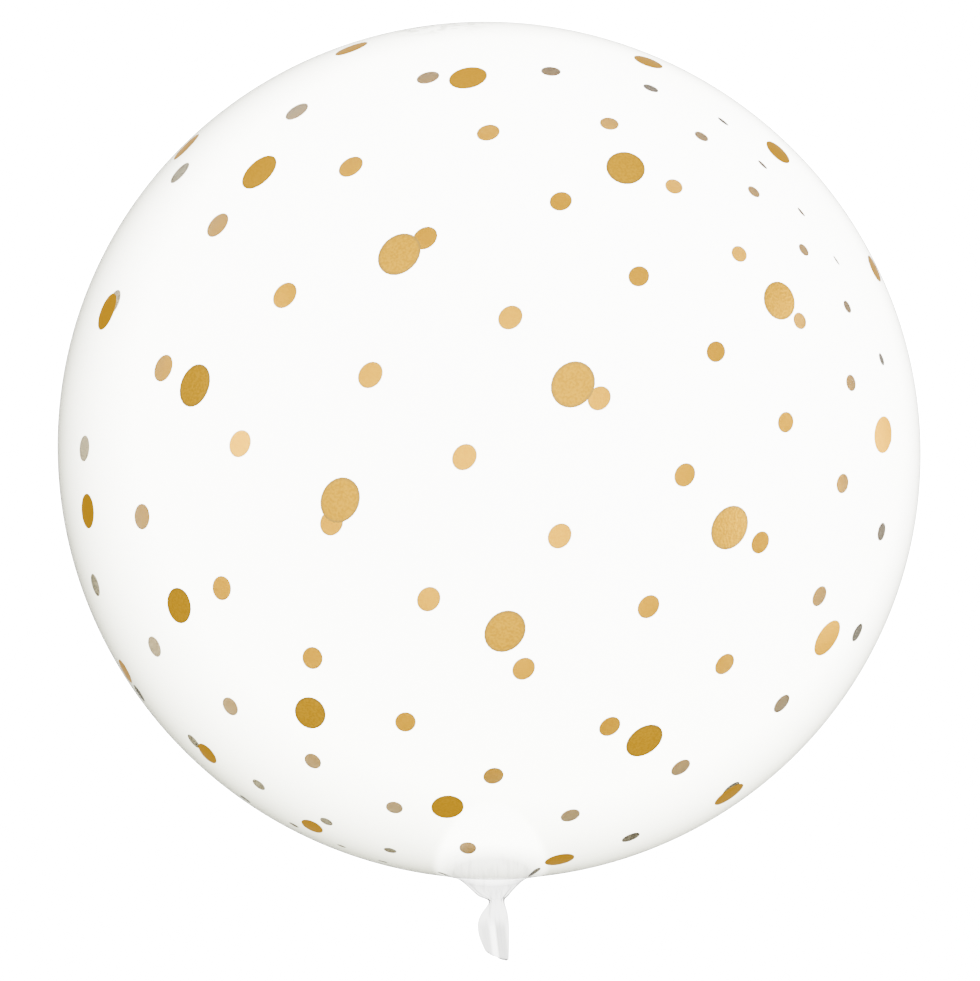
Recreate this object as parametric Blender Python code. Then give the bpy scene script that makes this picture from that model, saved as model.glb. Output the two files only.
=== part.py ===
# Clear bubble balloon, blown up and lying on the floor.
# One thin film makes the round ball, the gathered neck and the folded tail that is left past the neck.
# The ball is modelled about its own centre, with the neck along -Y and the floor below it at -Z.
# It is then raised, so that the middle of its small flat rest spot is the origin.

import math

import bmesh
import bpy
from mathutils import Matrix

# The ball
BALL_RADIUS = 0.200
REST_SPOT_RADIUS = 0.028
OVAL_SHARE = 0.006
OVAL_DIRECTION = math.radians(-26.0)

# The neck, from the ball to the pinch where the film is gathered tight
NECK_ROOT_RADIUS = 0.0240
SHOULDER_RADIUS = 0.0078
SHOULDER_BEYOND_BALL = 0.0152
SHOULDER_SIDE_SHIFT = 0.0008
PINCH_RADIUS = 0.0038
PINCH_BEYOND_BALL = 0.0190
PINCH_SIDE_SHIFT = 0.0027

# The tail, a flattened tube of film with lengthwise folds and a slanting cut end
TAIL_LENGTH = 0.0273
TAIL_WIDTH = 0.0148
TAIL_THICKNESS = 0.0056
TAIL_END_WIDTH = 0.0116
TAIL_WIDEST_AT = 0.42
TAIL_BOW = 0.0016
TAIL_SLANT = 0.0046
TAIL_FOLD_DEPTH = 0.0014
TAIL_FOLD_WIDTH = 0.0021

# The gathers, as shares of the local radius
GATHERS = 9
SHOULDER_GATHER_DEPTH = 0.10
PINCH_GATHER_DEPTH = 0.26
TAIL_GATHER_DEPTH = 0.20

# How finely the film is divided, and how near the neck's root a ring of the ball may come
POINTS_AROUND = 64
RINGS_CROWN_TO_NECK = 32
ROOT_GAP_SHARE = 0.4
CONE_RINGS = 4
SHOULDER_RINGS = 3
TAIL_RINGS = 8

# The film's look, and the angle past which a fold is shaded as a crease
FILM_COLOUR = (0.90, 0.91, 0.89, 1.0)
FILM_ROUGHNESS = 0.06
FILM_ALPHA = 0.25
CREASE_ANGLE = math.radians(50.0)


def clear_scene():
    for old in list(bpy.data.objects):
        bpy.data.objects.remove(old, do_unlink=True)


def film_material():
    material = bpy.data.materials.new("clear_film")
    material.use_nodes = True
    shader = material.node_tree.nodes["Principled BSDF"]
    shader.inputs["Base Color"].default_value = FILM_COLOUR
    shader.inputs["Roughness"].default_value = FILM_ROUGHNESS
    shader.inputs["Metallic"].default_value = 0.0
    shader.inputs["Alpha"].default_value = FILM_ALPHA
    return material


def blend(start, end, share):
    return start + (end - start) * share


def ease(share):
    # Goes from 0 to 1 with a level start and a level end.
    return 0.5 - 0.5 * math.cos(math.pi * share)


def open_ball(bm):
    # A round ball with its poles at the crown (+Y) and the neck (-Y), open where the neck starts.
    bmesh.ops.create_uvsphere(
        bm,
        u_segments=POINTS_AROUND,
        v_segments=RINGS_CROWN_TO_NECK,
        radius=BALL_RADIUS,
        matrix=Matrix.Rotation(math.radians(90.0), 4, "X"),
    )
    ring_gap = BALL_RADIUS * math.pi / RINGS_CROWN_TO_NECK
    clear_radius = NECK_ROOT_RADIUS + ROOT_GAP_SHARE * ring_gap
    cap = [v for v in bm.verts if v.co.y < 0.0 and math.hypot(v.co.x, v.co.z) < clear_radius]
    bmesh.ops.delete(bm, geom=cap, context="VERTS")


def add_ring(bm, rim, around, place):
    # Pulls the open rim out by one ring, and sets each new point by its angle about the neck.
    grown = bmesh.ops.extrude_edge_only(bm, edges=rim)["geom"]
    for vert in (g for g in grown if isinstance(g, bmesh.types.BMVert)):
        vert.co = place(vert[around])
    return [g for g in grown if isinstance(g, bmesh.types.BMEdge) and g.is_boundary]


def gathered(angle, depth):
    # The share of the full radius at this angle: 1 on a gather's ridge, less in its valley.
    return 1.0 - depth * (0.5 - 0.5 * math.cos(GATHERS * angle))


def cone_point(angle, share):
    root_y = -math.sqrt(BALL_RADIUS**2 - NECK_ROOT_RADIUS**2)
    shoulder_y = -(BALL_RADIUS + SHOULDER_BEYOND_BALL)
    radius = blend(NECK_ROOT_RADIUS, SHOULDER_RADIUS, share)
    radius *= gathered(angle, SHOULDER_GATHER_DEPTH * share**2)
    x = SHOULDER_SIDE_SHIFT * share + radius * math.cos(angle)
    return x, blend(root_y, shoulder_y, share), radius * math.sin(angle)


def shoulder_point(angle, share):
    # The film rounds over from the end of the cone into the pinch.
    depth = blend(SHOULDER_GATHER_DEPTH, PINCH_GATHER_DEPTH, share)
    radius = blend(SHOULDER_RADIUS, PINCH_RADIUS, ease(share)) * gathered(angle, depth)
    x = blend(SHOULDER_SIDE_SHIFT, PINCH_SIDE_SHIFT, ease(share)) + radius * math.cos(angle)
    y = -(BALL_RADIUS + blend(SHOULDER_BEYOND_BALL, PINCH_BEYOND_BALL, share))
    return x, y, radius * math.sin(angle)


def tail_point(angle, share):
    if share < TAIL_WIDEST_AT:
        opened = ease(share / TAIL_WIDEST_AT)
        half_width = blend(PINCH_RADIUS, TAIL_WIDTH / 2, opened)
    else:
        opened = 1.0
        narrowed = ease((share - TAIL_WIDEST_AT) / (1.0 - TAIL_WIDEST_AT))
        half_width = blend(TAIL_WIDTH, TAIL_END_WIDTH, narrowed) / 2
    half_depth = blend(PINCH_RADIUS, TAIL_THICKNESS / 2, opened)
    ridge = gathered(angle, blend(PINCH_GATHER_DEPTH, TAIL_GATHER_DEPTH, opened))
    across = half_width * math.cos(angle)
    z = half_depth * ridge * math.sin(angle)
    if z > 0.0:
        z -= min(TAIL_FOLD_DEPTH, z) * opened * math.exp(-((across / TAIL_FOLD_WIDTH) ** 2))
    shift = PINCH_SIDE_SHIFT - TAIL_BOW * math.sin(math.pi * share)
    slant = TAIL_SLANT * share * across / TAIL_END_WIDTH
    y = -(BALL_RADIUS + PINCH_BEYOND_BALL + TAIL_LENGTH * share + slant)
    return shift + across, y, z


def add_neck_and_tail(bm):
    around = bm.verts.layers.float.new("around")
    rim = [e for e in bm.edges if e.is_boundary]
    for vert in {v for e in rim for v in e.verts}:
        vert[around] = math.atan2(vert.co.z, vert.co.x)
    for point, first, rings in (
        (cone_point, 0, CONE_RINGS),
        (shoulder_point, 1, SHOULDER_RINGS),
        (tail_point, 1, TAIL_RINGS),
    ):
        for ring in range(first, rings + 1):
            rim = add_ring(bm, rim, around, lambda angle: point(angle, ring / rings))
    bmesh.ops.contextual_create(bm, geom=rim)
    bm.verts.layers.float.remove(around)


def make_oval(bm):
    # The film gives a little more along one diagonal than across it.
    turn = Matrix.Rotation(OVAL_DIRECTION, 4, "Z")
    stretch = Matrix.Diagonal((1.0 + OVAL_SHARE, 1.0 - OVAL_SHARE, 1.0, 1.0))
    bmesh.ops.transform(bm, matrix=turn @ stretch @ turn.inverted(), verts=bm.verts)


def flatten_rest_spot(bm):
    # The spot that the ball lies on is pressed flat, and becomes the height zero.
    centre_height = math.sqrt(BALL_RADIUS**2 - REST_SPOT_RADIUS**2)
    bmesh.ops.translate(bm, verts=bm.verts, vec=(0.0, 0.0, centre_height))
    cut = bmesh.ops.bisect_plane(
        bm,
        geom=bm.verts[:] + bm.edges[:] + bm.faces[:],
        plane_co=(0.0, 0.0, 0.0),
        plane_no=(0.0, 0.0, -1.0),
        clear_outer=True,
    )["geom_cut"]
    spot_edge = [g for g in cut if isinstance(g, bmesh.types.BMEdge)]
    bmesh.ops.contextual_create(bm, geom=spot_edge)


def build_film_balloon(collection):
    bm = bmesh.new()
    open_ball(bm)
    add_neck_and_tail(bm)
    make_oval(bm)
    flatten_rest_spot(bm)
    bmesh.ops.recalc_face_normals(bm, faces=bm.faces)
    mesh = bpy.data.meshes.new("film_balloon")
    bm.to_mesh(mesh)
    bm.free()
    mesh.shade_smooth()
    mesh.set_sharp_from_angle(angle=CREASE_ANGLE)
    mesh.materials.append(film_material())
    collection.objects.link(bpy.data.objects.new("film_balloon", mesh))


def build():
    clear_scene()
    collection = bpy.data.collections.new("bubble_balloon")
    bpy.context.scene.collection.children.link(collection)
    build_film_balloon(collection)


build()
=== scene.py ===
# Clear bubble balloon with gold dots, blown up, lying on its side on a lit white floor and seen from above.
import cmath
import math

import bmesh
import bpy
from mathutils import Matrix, Vector


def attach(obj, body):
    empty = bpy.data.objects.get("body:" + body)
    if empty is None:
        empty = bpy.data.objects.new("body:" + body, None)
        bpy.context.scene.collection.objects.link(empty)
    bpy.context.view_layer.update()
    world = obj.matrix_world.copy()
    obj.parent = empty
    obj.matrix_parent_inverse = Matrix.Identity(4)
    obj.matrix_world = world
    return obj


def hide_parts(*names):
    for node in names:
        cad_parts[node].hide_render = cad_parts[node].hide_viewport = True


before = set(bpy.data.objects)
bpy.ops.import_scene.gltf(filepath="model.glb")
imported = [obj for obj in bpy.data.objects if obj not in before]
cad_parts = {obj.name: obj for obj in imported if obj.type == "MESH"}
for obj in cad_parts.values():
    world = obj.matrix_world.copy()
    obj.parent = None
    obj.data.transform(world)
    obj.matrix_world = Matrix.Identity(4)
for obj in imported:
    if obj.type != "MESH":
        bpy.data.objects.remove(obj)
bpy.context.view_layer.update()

# The balloon is one skin of thin stretchy film, welded from two round sheets and blown up to a ball.
# The film is left unstretched at the neck, where it is gathered by hand into pleats and pinched shut.
# Past the pinch the neck stays open and lies pressed flat, as a short tail with folds along it.
SOLID_RADIUS = 0.200
BALL_RADIUS = 0.20025
REST_SPOT_RADIUS = 0.028
REST_LIFT = 0.0003
BALL_HEIGHT = math.sqrt(SOLID_RADIUS**2 - REST_SPOT_RADIUS**2)
BALL_SEGMENTS = 96
BALL_RINGS = 64
OVAL_SHARE = 0.006
OVAL_DIRECTION = math.radians(-26.0)
NECK_RIM_RING = 5
PLEATS = 12
PLEAT_PHASE = 0.4
VALLEY_BELOW = -0.2

# Each neck ring: distance from the middle of the ball, half width, half depth, side shift, new pleat depth.
NECK_RINGS = (
    (0.1960, 0.0408, 0.0450, 0.0000, 0.00),
    (0.1978, 0.0332, 0.0402, 0.0000, 0.00),
    (0.2002, 0.0262, 0.0340, 0.0000, 0.00),
    (0.2032, 0.0204, 0.0268, 0.0002, 0.01),
    (0.2064, 0.0162, 0.0204, 0.0003, 0.01),
    (0.2098, 0.0130, 0.0150, 0.0004, 0.02),
    (0.2128, 0.0102, 0.0108, 0.0006, 0.03),
    (0.2150, 0.0084, 0.0084, 0.0008, 0.04),
    (0.2162, 0.0070, 0.0062, 0.0012, 0.06),
    (0.2170, 0.0050, 0.0046, 0.0020, 0.06),
    (0.2184, 0.0038, 0.0036, 0.0027, -0.06),
    (0.2202, 0.0040, 0.0034, 0.0027, -0.08),
    (0.2222, 0.0052, 0.0033, 0.0022, -0.06),
    (0.2242, 0.0062, 0.0032, 0.0017, -0.03),
    (0.2262, 0.0069, 0.0032, 0.0013, 0.00),
    (0.2282, 0.0074, 0.0031, 0.0011, 0.00),
    (0.2302, 0.0076, 0.0031, 0.0010, 0.00),
    (0.2322, 0.0076, 0.0030, 0.0011, 0.00),
    (0.2342, 0.0075, 0.0030, 0.0012, 0.00),
    (0.2362, 0.0073, 0.0030, 0.0014, 0.00),
    (0.2382, 0.0071, 0.0029, 0.0016, 0.00),
    (0.2402, 0.0068, 0.0029, 0.0019, 0.00),
    (0.2422, 0.0065, 0.0028, 0.0022, 0.00),
    (0.2442, 0.0062, 0.0028, 0.0025, 0.00),
    (0.2460, 0.0060, 0.0027, 0.0028, 0.00),
)
SLANT_FROM = 0.2350
SLANT_TURN = math.radians(3.6)
CREASES_FROM = 0.2150

# Creases pressed into the upper side of the tail: start and end on the plan, half width and depth.
TAIL_CREASES = (
    ((0.0016, -0.2196), (0.0012, -0.2292), 0.0005, 0.0016),
    ((0.0034, -0.2206), (0.0046, -0.2290), 0.0004, 0.0010),
    ((-0.0006, -0.2210), (-0.0036, -0.2300), 0.0004, 0.0009),
    ((0.0006, -0.2312), (0.0018, -0.2460), 0.0015, 0.0013),
    ((0.0032, -0.2298), (0.0048, -0.2440), 0.0009, 0.0016),
    ((-0.0040, -0.2330), (-0.0020, -0.2420), 0.0007, 0.0007),
    ((0.0066, -0.2380), (0.0074, -0.2470), 0.0006, 0.0009),
)


def pick_points(test):
    # Selects the points of the mesh in edit mode for which the test holds.
    mesh = bmesh.from_edit_mesh(bpy.context.edit_object.data)
    for vert in mesh.verts:
        vert.select = test(vert)
    mesh.select_flush_mode()
    bmesh.update_edit_mesh(bpy.context.edit_object.data)


def finish_piece(piece, name):
    # Names the piece and tells the frame which body it rides.
    piece.name = name
    piece.data.name = name
    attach(piece, "root")


bpy.ops.object.select_all(action="DESELECT")
bpy.ops.mesh.primitive_uv_sphere_add(
    segments=BALL_SEGMENTS,
    ring_count=BALL_RINGS,
    radius=BALL_RADIUS,
    location=(0.0, 0.0, BALL_HEIGHT),
    rotation=(math.radians(90.0), 0.0, 0.0),
)
film = bpy.context.object
bpy.ops.object.transform_apply(location=True, rotation=True, scale=True)
bpy.ops.object.mode_set(mode="EDIT")
ring_angle = math.pi / BALL_RINGS
cut_angle = (NECK_RIM_RING - 0.5) * ring_angle
pick_points(lambda v: v.co.y < -BALL_RADIUS * math.cos(cut_angle))
bpy.ops.mesh.delete(type="VERT")

# The rim is drawn out ring by ring. The pleats deepen up to the pinch and open again past it.
last_far = BALL_RADIUS * math.cos(NECK_RIM_RING * ring_angle)
last_wide = BALL_RADIUS * math.sin(NECK_RIM_RING * ring_angle)
last_deep, last_side = last_wide, 0.0
pick_points(lambda v: v.is_boundary)
for far, wide, deep, side, pleat in NECK_RINGS:
    bpy.ops.mesh.extrude_region()
    bpy.ops.transform.translate(value=(side - last_side, last_far - far, 0.0))
    centre = (side, -far, BALL_HEIGHT)
    bpy.ops.transform.resize(value=(wide / last_wide, 1.0, deep / last_deep), center_override=centre)
    if far > SLANT_FROM:
        bpy.ops.transform.rotate(value=SLANT_TURN, orient_axis="Z", center_override=centre)
    if pleat != 0.0:

        def in_valley(vert):
            angle = math.atan2((vert.co.z - BALL_HEIGHT) / deep, (vert.co.x - side) / wide)
            return vert.is_boundary and math.cos(PLEATS * angle + PLEAT_PHASE) < VALLEY_BELOW

        pick_points(in_valley)
        bpy.ops.transform.resize(value=(1.0 - pleat, 1.0, 1.0 - pleat), center_override=centre)
        pick_points(lambda v: v.is_boundary)
    last_far, last_wide, last_deep, last_side = far, wide, deep, side

# The mouth of the tail is pressed shut, and creases are pressed into its upper side.
bpy.ops.mesh.edge_face_add()
for (start_x, start_y), (end_x, end_y), half_width, depth in TAIL_CREASES:
    start, run = Vector((start_x, start_y)), Vector((end_x - start_x, end_y - start_y))

    def in_crease(vert):
        if vert.co.z < BALL_HEIGHT or vert.co.y > -CREASES_FROM:
            return False
        place = Vector((vert.co.x, vert.co.y)) - start
        share = min(max(place.dot(run) / run.length_squared, 0.0), 1.0)
        return (place - run * share).length < half_width

    pick_points(in_crease)
    bpy.ops.transform.translate(value=(0.0, 0.0, -depth))

# The film of the ball is pressed flat where it lies on the floor.
pick_points(lambda v: v.co.z < REST_LIFT)
bpy.ops.transform.resize(value=(1.0, 1.0, 0.0), center_override=(0.0, 0.0, REST_LIFT))
bpy.ops.object.mode_set(mode="OBJECT")

# The film gives a little more along one diagonal, so the ball is turned, stretched and turned back.
for turn, stretch in ((-OVAL_DIRECTION, OVAL_SHARE), (OVAL_DIRECTION, 0.0)):
    film.rotation_euler = (0.0, 0.0, turn)
    bpy.ops.object.transform_apply(location=False, rotation=True, scale=False)
    film.scale = (1.0 + stretch, 1.0 - stretch, 1.0)
    bpy.ops.object.transform_apply(location=False, rotation=False, scale=True)

smoothing = film.modifiers.new("smoothing", "SUBSURF")
smoothing.levels = 1
smoothing.render_levels = 1
bpy.ops.object.modifier_apply(modifier="smoothing")
bpy.ops.object.shade_smooth()

# The film itself bends no light. Its clear coat is tinted grey, which darkens it toward the outline, more
# on the shaded side: painted shade in place of the darker surroundings that the film mirrors at a slant.
FILM_IOR = 1.0
COAT_IOR = 1.012
LOWER_TINT = (0.972, 0.98, 0.945, 1.0)
UPPER_TINT = (0.995, 0.995, 0.99, 1.0)
LOWER_TO_UPPER = (-0.15, -0.05)
LIT_COAT = (0.915, 0.915, 0.91, 1.0)
SHADED_COAT = (0.785, 0.785, 0.768, 1.0)
SHADED_SIDE = (-0.7, -0.7, 0.0)
LIT_TO_SHADED = (-0.20, 0.20)
FULLY_SHADED = 0.9

# The gathered film of the neck, with creases that run along it. Along the creases it is painted darker:
# partly more layers of film, partly painted shade.
NECK_TINT = (0.25, 0.25, 0.243, 1.0)
CREASE_LAYERS_AND_SHADE_TINT = (0.18, 0.18, 0.175, 1.0)
BALL_TO_NECK = (0.198, 0.204)
CREASE_SCALES = (520.0, 70.0, 60.0)
CREASE_DETAIL = 2.0
CREASE_EDGE = (0.34, 0.50)
NECK_COAT = (0.93, 0.93, 0.93, 1.0)
NECK_MIDDLE = (0.001, -0.2265, 0.0)
NECK_TO_BALL_COAT = (0.036, 0.041)

# The tail's film across its width from left to right: place and share of light let through, darker in bands
# of painted fold shade.
TAIL_BANDS = (
    (0.06, 0.22),
    (0.18, 0.165),
    (0.34, 0.17),
    (0.42, 0.32),
    (0.52, 0.34),
    (0.58, 0.14),
    (0.80, 0.15),
    (0.90, 0.27),
)
TAIL_WARMTH = 0.97
TAIL_ACROSS = (1.0, 0.12, 0.0)
LEFT_TO_RIGHT_EDGE = (-0.0340, -0.0170)
NECK_TO_TAIL = (0.226, 0.231)

# The crumpled film at the crown, painted as darker grey flecks: painted shade.
CRUMPLE_SHADE_TINT = (0.40, 0.40, 0.39, 1.0)
CRUMPLE_SCALE = 190.0
CRUMPLE_DETAIL = 1.0
CRUMPLE_EDGE = (0.46, 0.52)
CROWN_MIDDLE = (-0.021, 0.187, 0.270)
OUTSIDE_TO_CROWN = (0.026, 0.016)

TOWARD_CROWN = (0.0, 1.0, 0.0)
TOWARD_NECK = (0.0, -1.0, 0.0)
ON_PLAN = (1.0, 1.0, 0.0)
FROM_START_TO_END = (0.0, 1.0)


def node_material(name):
    material = bpy.data.materials.new(name)
    material.use_nodes = True
    nodes = material.node_tree.nodes
    return material, nodes, material.node_tree.links, nodes["Principled BSDF"]


def ramp_between(nodes, low, high, places):
    # A colour ramp with one colour up to the first place and the other from the second place on.
    ramp = nodes.new("ShaderNodeValToRGB")
    ramp.color_ramp.elements[0].position, ramp.color_ramp.elements[1].position = places
    ramp.color_ramp.elements[0].color, ramp.color_ramp.elements[1].color = low, high
    return ramp


def share_between(nodes, links, value, reach):
    # Goes from 0 to 1 while the value goes from one end of the reach to the other.
    share = nodes.new("ShaderNodeMapRange")
    share.inputs["From Min"].default_value, share.inputs["From Max"].default_value = reach
    links.new(value, share.inputs["Value"])
    return share


def place_along(nodes, links, direction, reach):
    # Goes from 0 to 1 between two distances from the origin, measured along a direction.
    where = nodes.new("ShaderNodeTexCoord")
    along = nodes.new("ShaderNodeVectorMath")
    along.operation = "DOT_PRODUCT"
    along.inputs[1].default_value = direction
    links.new(where.outputs["Object"], along.inputs[0])
    return share_between(nodes, links, along.outputs["Value"], reach)


def place_from(nodes, links, vector, middle, reach):
    # Goes from 0 to 1 between two distances from a point.
    distance = nodes.new("ShaderNodeVectorMath")
    distance.operation = "DISTANCE"
    distance.inputs[1].default_value = middle
    links.new(vector, distance.inputs[0])
    return share_between(nodes, links, distance.outputs["Value"], reach)


def noise_at(nodes, links, vector, scale, detail):
    # An even grain, without direction unless the vector is stretched.
    noise = nodes.new("ShaderNodeTexNoise")
    noise.inputs["Scale"].default_value = scale
    noise.inputs["Detail"].default_value = detail
    links.new(vector, noise.inputs["Vector"])
    return noise.outputs["Fac"]


def mixed_colours(nodes, links, share, first, second):
    # The first colour where the share is 0, the second where it is 1.
    blend = nodes.new("ShaderNodeMix")
    blend.data_type = "RGBA"
    links.new(share, blend.inputs["Factor"])
    links.new(first, blend.inputs["A"])
    links.new(second, blend.inputs["B"])
    return blend.outputs["Result"]


clear_film, nodes, links, shader = node_material("clear_film")
shader.inputs["Roughness"].default_value = 0.0
shader.inputs["IOR"].default_value = FILM_IOR
shader.inputs["Transmission Weight"].default_value = 1.0
shader.inputs["Coat Weight"].default_value = 1.0
shader.inputs["Coat Roughness"].default_value = 0.0
shader.inputs["Coat IOR"].default_value = COAT_IOR

height = place_along(nodes, links, TOWARD_CROWN, LOWER_TO_UPPER)
ball_tint = ramp_between(nodes, LOWER_TINT, UPPER_TINT, FROM_START_TO_END)
links.new(height.outputs["Result"], ball_tint.inputs["Fac"])
# The coat's grey is set darker on the shaded side than on the lit side: painted shade.
side = place_along(nodes, links, SHADED_SIDE, LIT_TO_SHADED)
ball_coat = ramp_between(nodes, LIT_COAT, SHADED_COAT, (0.0, FULLY_SHADED))
links.new(side.outputs["Result"], ball_coat.inputs["Fac"])

# Toward the neck the film is gathered thicker, so it takes more light.
where = nodes.new("ShaderNodeTexCoord").outputs["Object"]
stretch = nodes.new("ShaderNodeMapping")
stretch.inputs["Scale"].default_value = CREASE_SCALES
links.new(where, stretch.inputs["Vector"])
# Darker streaks along the creases: painted crease shade, partly more layers of film.
creases = noise_at(nodes, links, stretch.outputs["Vector"], 1.0, CREASE_DETAIL)
cone_tint = ramp_between(nodes, CREASE_LAYERS_AND_SHADE_TINT, NECK_TINT, CREASE_EDGE)
links.new(creases, cone_tint.inputs["Fac"])

# In the tail the folded film lies double in bands, with a lighter open band in the middle. The darker bands
# are partly more layers of film, partly painted fold shade.
across_tail = place_along(nodes, links, TAIL_ACROSS, LEFT_TO_RIGHT_EDGE)
tail_tint = ramp_between(nodes, CREASE_LAYERS_AND_SHADE_TINT, NECK_TINT, FROM_START_TO_END)
links.new(across_tail.outputs["Result"], tail_tint.inputs["Fac"])
for place, share in TAIL_BANDS:
    tail_tint.color_ramp.elements.new(place).color = (share, share, TAIL_WARMTH * share, 1.0)
down_tail = place_along(nodes, links, TOWARD_NECK, NECK_TO_TAIL).outputs["Result"]
neck_tint = mixed_colours(nodes, links, down_tail, cone_tint.outputs["Color"], tail_tint.outputs["Color"])
gathered = place_along(nodes, links, TOWARD_NECK, BALL_TO_NECK).outputs["Result"]
tint = mixed_colours(nodes, links, gathered, ball_tint.outputs["Color"], neck_tint)

# At the crown, across from the neck, the film is left a little crumpled where the sheets were welded. The
# crumples are painted as darker grey flecks of shade.
at_crown = place_from(nodes, links, where, CROWN_MIDDLE, OUTSIDE_TO_CROWN).outputs["Result"]
crumple_shade_tint = ramp_between(nodes, CRUMPLE_SHADE_TINT, UPPER_TINT, CRUMPLE_EDGE)
crumple = noise_at(nodes, links, where, CRUMPLE_SCALE, CRUMPLE_DETAIL)
links.new(crumple, crumple_shade_tint.inputs["Fac"])
tint = mixed_colours(nodes, links, at_crown, tint, crumple_shade_tint.outputs["Color"])
links.new(tint, shader.inputs["Base Color"])

# The gathered film has hardly a dark outline of its own where it leaves the ball.
plan = nodes.new("ShaderNodeVectorMath")
plan.operation = "MULTIPLY"
plan.inputs[1].default_value = ON_PLAN
links.new(where, plan.inputs[0])
beside_neck = place_from(nodes, links, plan.outputs["Vector"], NECK_MIDDLE, NECK_TO_BALL_COAT)
beside_neck.interpolation_type = "SMOOTHSTEP"
neck_coat = nodes.new("ShaderNodeRGB").outputs["Color"]
neck_coat.default_value = NECK_COAT
coat = mixed_colours(nodes, links, beside_neck.outputs["Result"], neck_coat, ball_coat.outputs["Color"])
links.new(coat, shader.inputs["Coat Tint"])
film.data.materials.append(clear_film)

finish_piece(film, "clear_film_skin")
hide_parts("film_balloon")

# The gold dots are foil, printed on the two flat sheets in an even honeycomb before they are welded.
# Blown up, each sheet stretches most near its middle, so the dots grow there and close up at the rim.
# The print stops short of the weld, and the foil is fixed to the outside of the film.
DOT_SIDES = 24
RIM_SHARE = 0.14
MIDDLE_SHARE = 0.35
ROWS = range(-5, 6)
PLACES = range(-5, 7)
SHEET_REACH = 2.45
FRONT_PRINT_EDGE = 0.37
BACK_PRINT_EDGE = 0.09
BACK_PRINT_LEAN = 0.10
LAID_ABOVE_FILM = 0.001
FOIL_LIFT = 0.00005
FOIL_THICKNESS = 0.00008
FOIL_EDGE_ANGLE = math.radians(40.0)

# Lengths on a flat sheet are shares of the ball's radius, with picture right and up as the two axes.
FRONT_SHEET = {
    "faces": 1.0,
    "dot_long": 0.0425,
    "dot_short": 0.0328,
    "dot_turn": math.radians(64.0),
    "tilt_up": math.radians(21.5),
    "tilt_side": math.radians(-18.5),
    "first_dot": complex(0.413, 0.516),
    "next_dot": complex(0.291, -0.195),
    "next_row": complex(-0.074, -0.443),
    "slack": 0.007,
    "drift": complex(0.078, -0.156),
    "spread": complex(-0.046, -0.126),
    "curl": complex(0.0, 0.0),
}
BACK_SHEET = {
    "faces": -1.0,
    "dot_long": 0.0430,
    "dot_short": 0.0356,
    "dot_turn": math.radians(58.0),
    "tilt_up": math.radians(-9.8),
    "tilt_side": math.radians(11.2),
    "first_dot": complex(0.117, 0.151),
    "next_dot": complex(0.300, -0.238),
    "next_row": complex(-0.113, -0.452),
    "slack": 0.040,
    "drift": complex(-0.006, -0.055),
    "spread": complex(-0.004, -0.026),
    "curl": complex(0.006, 0.018),
}


def blown_up(sheet, flat):
    # Where a point of the flat sheet goes on the ball, as a direction from the ball's middle.
    mirrored = flat.conjugate()
    moved = flat - sheet["slack"] * flat * flat * mirrored
    moved += sheet["drift"] * flat**2 + sheet["spread"] * flat * mirrored + sheet["curl"] * flat**3
    angle, heading = cmath.polar(moved)
    across = Vector((math.cos(heading), math.sin(heading), 0.0)) * math.sin(angle)
    outward = Vector((0.0, 0.0, sheet["faces"] * math.cos(angle)))
    turn = Matrix.Rotation(sheet["tilt_up"], 3, "X") @ Matrix.Rotation(sheet["tilt_side"], 3, "Y")
    return turn @ (across + outward)


def in_print(sheet, direction):
    if sheet["faces"] > 0.0:
        return direction.z > FRONT_PRINT_EDGE
    return direction.z + BACK_PRINT_LEAN * (direction.x + direction.y) < BACK_PRINT_EDGE


bpy.ops.object.select_all(action="DESELECT")
bpy.ops.mesh.primitive_circle_add(vertices=DOT_SIDES, radius=1.0, fill_type="NGON")
dot = bpy.context.object
bpy.ops.object.mode_set(mode="EDIT")
bpy.ops.mesh.select_all(action="SELECT")
bpy.ops.mesh.inset(thickness=RIM_SHARE)
bpy.ops.mesh.inset(thickness=MIDDLE_SHARE)
bpy.ops.mesh.poke()
bpy.ops.object.mode_set(mode="OBJECT")

oval = (
    Matrix.Rotation(OVAL_DIRECTION, 3, "Z")
    @ Matrix.Diagonal((1.0 + OVAL_SHARE, 1.0 - OVAL_SHARE, 1.0))
    @ Matrix.Rotation(-OVAL_DIRECTION, 3, "Z")
)
ball_middle = Vector((0.0, 0.0, BALL_HEIGHT))
dots = []
for sheet in (FRONT_SHEET, BACK_SHEET):
    for row in ROWS:
        for place in PLACES:
            middle = sheet["first_dot"] + place * sheet["next_dot"] + row * sheet["next_row"]
            if abs(middle) > SHEET_REACH or not in_print(sheet, blown_up(sheet, middle)):
                continue
            copy = dot.copy()
            copy.data = dot.data.copy()
            bpy.context.collection.objects.link(copy)
            for vert in copy.data.vertices:
                spread = complex(sheet["dot_long"] * vert.co.x, sheet["dot_short"] * vert.co.y)
                flat = middle + spread * cmath.rect(1.0, sheet["dot_turn"])
                vert.co = oval @ (blown_up(sheet, flat) * (BALL_RADIUS + LAID_ABOVE_FILM)) + ball_middle
            if sheet["faces"] < 0.0:
                copy.data.flip_normals()
            dots.append(copy)
bpy.data.objects.remove(dot, do_unlink=True)

bpy.ops.object.select_all(action="DESELECT")
for copy in dots:
    copy.select_set(True)
bpy.context.view_layer.objects.active = dots[0]
bpy.ops.object.join()
foil = bpy.context.object
fit = foil.modifiers.new("fit", "SHRINKWRAP")
fit.target = film
fit.wrap_method = "NEAREST_SURFACEPOINT"
fit.wrap_mode = "OUTSIDE_SURFACE"
fit.offset = FOIL_LIFT
bpy.ops.object.modifier_apply(modifier="fit")
body = foil.modifiers.new("body", "SOLIDIFY")
body.thickness = FOIL_THICKNESS
body.offset = 1.0
bpy.ops.object.modifier_apply(modifier="body")
bpy.ops.object.shade_smooth_by_angle(angle=FOIL_EDGE_ANGLE)
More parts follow.
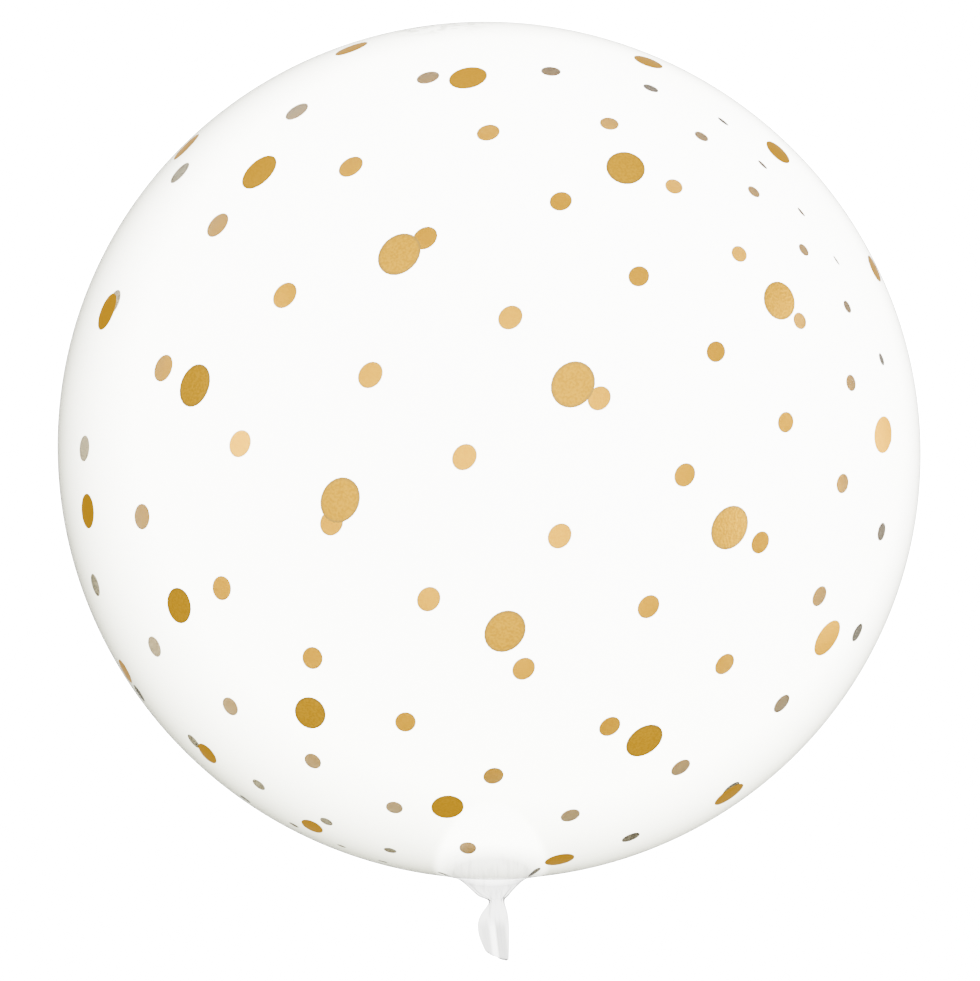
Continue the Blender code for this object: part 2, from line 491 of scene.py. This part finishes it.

# The foil's colours on its outer face, and as seen from inside the ball through the film. Seen from inside,
# the foil is given a much brighter gold: painted light that makes up for what the film takes of the light.
# Seen from inside, a painted sheen greys the foil at a slant, more on the lit side, and is paler on the
# shaded side.
OUTSIDE_FOIL = {
    "gold": (0.355, 0.184, 0.0, 1.0),
    "crease": (0.29, 0.146, 0.0, 1.0),
    "rim": (0.20, 0.120, 0.020, 1.0),
    "lit_sheen": (0.355, 0.184, 0.0, 1.0),
    "shaded_sheen": (0.355, 0.184, 0.0, 1.0),
    "glancing": (0.72, 0.55, 0.30, 1.0),
}
INSIDE_FOIL_WITH_PAINTED_LIGHT = {
    "gold": (1.0, 0.51, 0.0, 1.0),
    "crease": (0.92, 0.44, 0.0, 1.0),
    "rim": (0.70, 0.42, 0.08, 1.0),
    "lit_sheen": (0.31, 0.28, 0.25, 1.0),
    "shaded_sheen": (1.0, 0.86, 0.64, 1.0),
    "glancing": (1.0, 1.0, 1.0, 1.0),
}
CRAZING_SCALE = 1100.0
CRAZING_DETAIL = 3.0
CRAZING_EDGE = (0.40, 0.58)
CRAZING_STRENGTH = 0.35
CRAZING_DEPTH = 0.0004
FOIL_ROUGHNESS = (0.38, 0.24)
UV_MIDDLE = (0.5, 0.5, 0.0)
INNER_TO_RIM = (0.41, 0.50)
FACING_TO_SLANT = (0.28, 0.72)
LIT_TO_SHADED_SHEEN = (-0.15, 0.15)


def foil_material(name, look):
    # Metal foil that the stretched film has crazed finely, with a duller edge to every dot.
    material, nodes, links, shader = node_material(name)
    shader.inputs["Metallic"].default_value = 1.0
    shader.inputs["Specular Tint"].default_value = look["glancing"]
    where = nodes.new("ShaderNodeTexCoord")
    crazing = noise_at(nodes, links, where.outputs["Object"], CRAZING_SCALE, CRAZING_DETAIL)
    mottle = ramp_between(nodes, look["crease"], look["gold"], CRAZING_EDGE)
    links.new(crazing, mottle.inputs["Fac"])
    at_rim = place_from(nodes, links, where.outputs["UV"], UV_MIDDLE, INNER_TO_RIM)
    at_rim.interpolation_type = "SMOOTHSTEP"
    rim = nodes.new("ShaderNodeRGB").outputs["Color"]
    rim.default_value = look["rim"]
    colour = mixed_colours(nodes, links, at_rim.outputs["Result"], mottle.outputs["Color"], rim)
    # A painted sheen: at a slant the colour turns toward a grey that goes from the lit to the shaded side.
    slant = nodes.new("ShaderNodeLayerWeight")
    slant.inputs["Blend"].default_value = 0.5
    greyed = share_between(nodes, links, slant.outputs["Facing"], FACING_TO_SLANT)
    greyed.interpolation_type = "SMOOTHSTEP"
    side = place_along(nodes, links, SHADED_SIDE, LIT_TO_SHADED_SHEEN)
    sheen = ramp_between(nodes, look["lit_sheen"], look["shaded_sheen"], FROM_START_TO_END)
    links.new(side.outputs["Result"], sheen.inputs["Fac"])
    seen = mixed_colours(nodes, links, greyed.outputs["Result"], colour, sheen.outputs["Color"])
    links.new(seen, shader.inputs["Base Color"])
    gloss = nodes.new("ShaderNodeMapRange")
    gloss.inputs["To Min"].default_value, gloss.inputs["To Max"].default_value = FOIL_ROUGHNESS
    links.new(crazing, gloss.inputs["Value"])
    links.new(gloss.outputs["Result"], shader.inputs["Roughness"])
    bump = nodes.new("ShaderNodeBump")
    bump.inputs["Strength"].default_value = CRAZING_STRENGTH
    bump.inputs["Distance"].default_value = CRAZING_DEPTH
    links.new(crazing, bump.inputs["Height"])
    links.new(bump.outputs["Normal"], shader.inputs["Normal"])
    return material


foil.data.materials.clear()
foil.data.materials.append(foil_material("gold_print", OUTSIDE_FOIL))
foil.data.materials.append(foil_material("gold_print_inside", INSIDE_FOIL_WITH_PAINTED_LIGHT))
for face in foil.data.polygons:
    if face.normal.dot(face.center - ball_middle) < 0.0:
        face.material_index = 1
finish_piece(foil, "gold_dots")

# The floor is a plain white table top lit from below, which shines through the clear film.
# What the foil mirrors of it is dimmer, but brighter under the left side of the ball and off to the right.
FLOOR_SIZE = 8.0
FLOOR_DROP = 0.0002
FLOOR_ROUGHNESS = 0.9
FLOOR_GLOW = 22.0
LEFT_GLOW = 12.0
RIGHT_GLOW = 6.0
LOW_GLOW = 1.2
LEFT_DIRECTION = (-1.0, -0.2, 0.0)
LEFT_REACH = (-0.02, 0.12)
RIGHT_DIRECTION = (1.0, 0.0, 0.0)
RIGHT_REACH = (0.0, 0.3)
OUTSIDE_TO_UNDER_BALL = (0.20, 0.15)
FLOOR_MIDDLE = (0.0, 0.0, 0.0)
PALE = (0.85, 0.85, 0.85, 1.0)
DIMMED = (0.15, 0.15, 0.15, 1.0)
WHITE = (1.0, 1.0, 1.0, 1.0)


def combined(nodes, links, operation, first, second):
    # The sum or the product of two values.
    total = nodes.new("ShaderNodeMath")
    total.operation = operation
    links.new(first, total.inputs[0])
    links.new(second, total.inputs[1])
    return total.outputs["Value"]


def set_levels(share, low, high):
    # Lets a share go between two levels of light instead of from 0 to 1.
    share.inputs["To Min"].default_value = low
    share.inputs["To Max"].default_value = high
    return share.outputs["Result"]


bpy.ops.object.select_all(action="DESELECT")
bpy.ops.mesh.primitive_plane_add(size=FLOOR_SIZE, location=(0.0, 0.0, -FLOOR_DROP))
floor = bpy.context.object
floor.name = "floor"
white_top, nodes, links, shader = node_material("white_top")
shader.inputs["Roughness"].default_value = FLOOR_ROUGHNESS
shader.inputs["Emission Color"].default_value = WHITE
where = nodes.new("ShaderNodeTexCoord").outputs["Object"]
under_ball = place_from(nodes, links, where, FLOOR_MIDDLE, OUTSIDE_TO_UNDER_BALL).outputs["Result"]
left_level = set_levels(place_along(nodes, links, LEFT_DIRECTION, LEFT_REACH), 0.0, LEFT_GLOW)
right_level = set_levels(place_along(nodes, links, RIGHT_DIRECTION, RIGHT_REACH), LOW_GLOW, RIGHT_GLOW)
left_below = combined(nodes, links, "MULTIPLY", under_ball, left_level)
mirrored = combined(nodes, links, "ADD", left_below, right_level)
light_path = nodes.new("ShaderNodeLightPath")
glow = nodes.new("ShaderNodeMapRange")
glow.inputs["To Min"].default_value = FLOOR_GLOW
links.new(mirrored, glow.inputs["To Max"])
links.new(light_path.outputs["Glossy Depth"], glow.inputs["Value"])
links.new(glow.outputs["Result"], shader.inputs["Emission Strength"])
paleness = ramp_between(nodes, PALE, DIMMED, FROM_START_TO_END)
links.new(light_path.outputs["Glossy Depth"], paleness.inputs["Fac"])
links.new(paleness.outputs["Color"], shader.inputs["Base Color"])
floor.data.materials.append(white_top)
floor.visible_diffuse = False
floor.visible_glossy = False
floor.visible_shadow = False

# The room gives soft white light from all round, dimmer low down than overhead.
# One large soft panel stands bright to the right.
LOW_LIGHT = 1.7
SIDE_LIGHT = 2.3
OVERHEAD_LIGHT = 6.0
FAR_SIDE_LIGHT = 1.2
PANEL_LIGHT = 13.0
PANEL_SIDE = Vector((1.0, -0.06, -0.12)).normalized()
LOW_TO_SIDE = (-0.7, 0.2)
SIDE_TO_OVERHEAD = (0.1, 1.0)
NEAR_TO_FAR_SIDE = (0.0, 1.0)
PANEL_EDGE_TO_MIDDLE = (0.78, 1.0)
world = bpy.data.worlds.new("studio")
bpy.context.scene.world = world
world.use_nodes = True
nodes, links = world.node_tree.nodes, world.node_tree.links
background = nodes["Background"]
background.inputs["Color"].default_value = WHITE
sky = nodes.new("ShaderNodeTexCoord")
parts = nodes.new("ShaderNodeSeparateXYZ")
links.new(sky.outputs["Generated"], parts.inputs["Vector"])
toward_panel = nodes.new("ShaderNodeVectorMath")
toward_panel.operation = "DOT_PRODUCT"
toward_panel.inputs[1].default_value = PANEL_SIDE
links.new(sky.outputs["Generated"], toward_panel.inputs[0])


def light_between(source, reach, low, high):
    # Turns a share of the direction into a level of light.
    level = share_between(nodes, links, source, reach)
    level.interpolation_type = "SMOOTHSTEP"
    return set_levels(level, low, high)


low = light_between(parts.outputs["Z"], LOW_TO_SIDE, LOW_LIGHT, SIDE_LIGHT)
overhead = light_between(parts.outputs["Z"], SIDE_TO_OVERHEAD, 0.0, OVERHEAD_LIGHT - SIDE_LIGHT)
far_side = light_between(parts.outputs["Y"], NEAR_TO_FAR_SIDE, 0.0, FAR_SIDE_LIGHT)
panel = light_between(toward_panel.outputs["Value"], PANEL_EDGE_TO_MIDDLE, 0.0, PANEL_LIGHT)
room = combined(nodes, links, "ADD", low, overhead)
room = combined(nodes, links, "ADD", room, far_side)
links.new(combined(nodes, links, "ADD", room, panel), background.inputs["Strength"])

# The camera looks straight down on the balloon, as the photo looks straight at it.
# Its lens is chosen so that the ball with its tail nearly fills the picture.
CAMERA_ABOVE_MIDDLE = 0.730
SENSOR_WIDTH = 36.0
LENS = 55.47
SHIFT_X = 0.0010
SHIFT_Y = -0.0409
camera_data = bpy.data.cameras.new("camera")
camera = bpy.data.objects.new("camera", camera_data)
bpy.context.collection.objects.link(camera)
camera.location = (0.0, 0.0, BALL_HEIGHT + CAMERA_ABOVE_MIDDLE)
camera_data.sensor_fit = "HORIZONTAL"
camera_data.sensor_width = SENSOR_WIDTH
camera_data.lens = LENS
camera_data.shift_x = SHIFT_X
camera_data.shift_y = SHIFT_Y
bpy.context.scene.camera = camera
